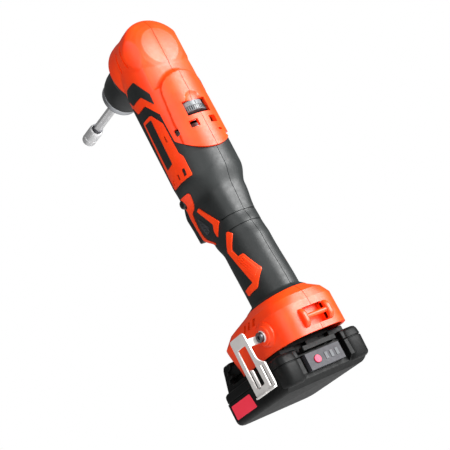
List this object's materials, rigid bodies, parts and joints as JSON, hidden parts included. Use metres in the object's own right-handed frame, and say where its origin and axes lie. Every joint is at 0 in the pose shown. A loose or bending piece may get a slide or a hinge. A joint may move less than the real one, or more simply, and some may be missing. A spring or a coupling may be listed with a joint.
{
  "type": "right angle drill",
  "caption": "Cordless right angle drill: bevel gear head with keyless chuck and hex bit holder, slim grip with paddle trigger, speed dial, belt clip and slide-on battery.",
  "frame": {"origin": "on the battery's flat base, below the motor axis", "axes": "+Z from the battery up to the head, -X out of the chuck, +Y to the side without the belt clip"},
  "size_m": [0.1638, 0.0831, 0.2933],
  "materials": {
    "orange_plastic": "satin moulded",
    "soft_grip": "fine matt texture",
    "black_plastic": "fine moulded texture",
    "bright_steel": "ground",
    "clip_steel": "polished plate",
    "dark_steel": "blackened",
    "alloy": "cast",
    "copper": "enamelled copper and laminations",
    "brass": "machined",
    "board": "solder mask",
    "gauge_grey": "matt",
    "signal_red": "smooth",
    "lamp": "clear white",
    "cell_wrap": "shrink wrap over steel"
  },
  "bodies": {
    "housing": {"housing_left": "orange_plastic", "housing_right": "orange_plastic", "overmould_left": "soft_grip", "overmould_right": "soft_grip", "gear_case": "alloy", "spindle_bearing_front": "bright_steel", "spindle_bearing_rear": "bright_steel", "pinion_bearing": "bright_steel", "ring_gear": "bright_steel", "gearbox_plate": "alloy", "motor_can": "bright_steel", "motor_magnets": "dark_steel", "motor_end_cap": "black_plastic", "motor_brushes": "dark_steel", "motor_bushes": "brass", "dial_board": "board", "switch_module": "black_plastic", "trigger_pin": "bright_steel", "trigger_spring": "bright_steel", "power_leads": "signal_red", "terminal_block": "black_plastic", "terminal_blades": "brass", "housing_screws": "dark_steel", "belt_clip": "clip_steel", "clip_screw": "dark_steel", "clip_inserts": "brass"},
    "rotor": {"rotor_shaft": "bright_steel", "rotor_core": "copper", "commutator": "copper", "cooling_fan": "black_plastic", "sun_gear": "bright_steel"},
    "carrier": {"planet_carrier": "dark_steel", "bevel_pinion": "bright_steel"},
    "planet_1": {"planet_gear_1": "bright_steel"},
    "planet_2": {"planet_gear_2": "bright_steel"},
    "planet_3": {"planet_gear_3": "bright_steel"},
    "spindle": {"spindle": "bright_steel", "bevel_gear": "bright_steel", "chuck_body": "dark_steel", "chuck_nose_ring": "alloy"},
    "chuck_sleeve": {"chuck_sleeve": "black_plastic", "chuck_nut": "bright_steel"},
    "jaw_1": {"chuck_jaw_1": "bright_steel"},
    "jaw_2": {"chuck_jaw_2": "bright_steel"},
    "jaw_3": {"chuck_jaw_3": "bright_steel"},
    "bit": {"bit_holder": "bright_steel"},
    "trigger": {"trigger": "black_plastic"},
    "direction_button": {"direction_button": "black_plastic"},
    "speed_dial": {"speed_dial": "soft_grip"},
    "battery": {"battery_lower_case": "black_plastic", "battery_upper_case": "black_plastic", "battery_cells": "cell_wrap", "battery_board": "board", "battery_sockets": "brass", "gauge_panel": "gauge_grey", "gauge_leds": "lamp", "release_spring": "bright_steel", "battery_screws": "dark_steel"},
    "release_key": {"release_key": "black_plastic"},
    "gauge_button": {"gauge_button": "signal_red"}
  },
  "joints": [
    {"name": "spindle_spin", "type": "hinge", "parent": "housing", "child": "spindle", "pos_m": [0, 0, 0.2675], "axis": [1, 0, 0], "continuous": true},
    {"name": "carrier_spin", "type": "hinge", "parent": "housing", "child": "carrier", "pos_m": [0, 0, 0.24], "axis": [0, 0, 1], "continuous": true},
    {"name": "rotor_spin", "type": "hinge", "parent": "housing", "child": "rotor", "pos_m": [0, 0, 0.19], "axis": [0, 0, 1], "continuous": true},
    {"name": "planet_1_spin", "type": "hinge", "parent": "carrier", "child": "planet_1", "pos_m": [0.0108, 0, 0.2285], "axis": [0, 0, 1], "continuous": true},
    {"name": "planet_2_spin", "type": "hinge", "parent": "carrier", "child": "planet_2", "pos_m": [-0.0054, 0.00935, 0.2285], "axis": [0, 0, 1], "continuous": true},
    {"name": "planet_3_spin", "type": "hinge", "parent": "carrier", "child": "planet_3", "pos_m": [-0.0054, -0.00935, 0.2285], "axis": [0, 0, 1], "continuous": true},
    {"name": "chuck_sleeve_turn", "type": "hinge", "parent": "spindle", "child": "chuck_sleeve", "pos_m": [-0.034, 0, 0.2675], "axis": [1, 0, 0], "range_deg": [0, 1080]},
    {"name": "jaw_1_slide", "type": "slide", "parent": "spindle", "child": "jaw_1", "axis": [0.9659, 0, 0.2588], "range_m": [0, 0.006]},
    {"name": "jaw_2_slide", "type": "slide", "parent": "spindle", "child": "jaw_2", "axis": [0.9659, -0.2241, -0.1294], "range_m": [0, 0.006]},
    {"name": "jaw_3_slide", "type": "slide", "parent": "spindle", "child": "jaw_3", "axis": [0.9659, 0.2241, -0.1294], "range_m": [0, 0.006]},
    {"name": "bit_pull", "type": "slide", "parent": "spindle", "child": "bit", "axis": [-1, 0, 0], "range_m": [0, 0.025]},
    {"name": "trigger_pull", "type": "hinge", "parent": "housing", "child": "trigger", "pos_m": [-0.022, 0, 0.155], "axis": [0, -1, 0], "range_deg": [0, 11], "stiffness_Nm_per_rad": 0.6, "springref_deg": -8.59, "deforming": ["trigger_spring"]},
    {"name": "direction_shift", "type": "slide", "parent": "housing", "child": "direction_button", "axis": [0, 1, 0], "range_m": [-0.0022, 0.0022]},
    {"name": "speed_dial_turn", "type": "hinge", "parent": "housing", "child": "speed_dial", "pos_m": [0.0174, 0, 0.2139], "axis": [0, 0, 1], "range_deg": [-135, 135]},
    {"name": "battery_slide", "type": "slide", "parent": "housing", "child": "battery", "axis": [-1, 0, 0], "range_m": [0, 0.09]},
    {"name": "release_press", "type": "slide", "parent": "battery", "child": "release_key", "axis": [0, 0, -1], "range_m": [0, 0.002], "stiffness_N_per_m": 800, "springref_m": -0.004, "deforming": ["release_spring"]},
    {"name": "gauge_press", "type": "slide", "parent": "battery", "child": "gauge_button", "axis": [-1, 0, 0], "range_m": [0, 0.0006], "stiffness_N_per_m": 900, "springref_m": -0.001}
  ],
  "couplings": [
    {"joint": "carrier_spin", "follows": "spindle_spin", "ratio": 2},
    {"joint": "rotor_spin", "follows": "spindle_spin", "ratio": 12},
    {"joint": "planet_1_spin", "follows": "spindle_spin", "ratio": -5},
    {"joint": "planet_2_spin", "follows": "spindle_spin", "ratio": -5},
    {"joint": "planet_3_spin", "follows": "spindle_spin", "ratio": -5},
    {"joint": "jaw_1_slide", "follows": "chuck_sleeve_turn", "m_per_rad": 0.00031831},
    {"joint": "jaw_2_slide", "follows": "chuck_sleeve_turn", "m_per_rad": 0.00031831},
    {"joint": "jaw_3_slide", "follows": "chuck_sleeve_turn", "m_per_rad": 0.00031831}
  ]
}
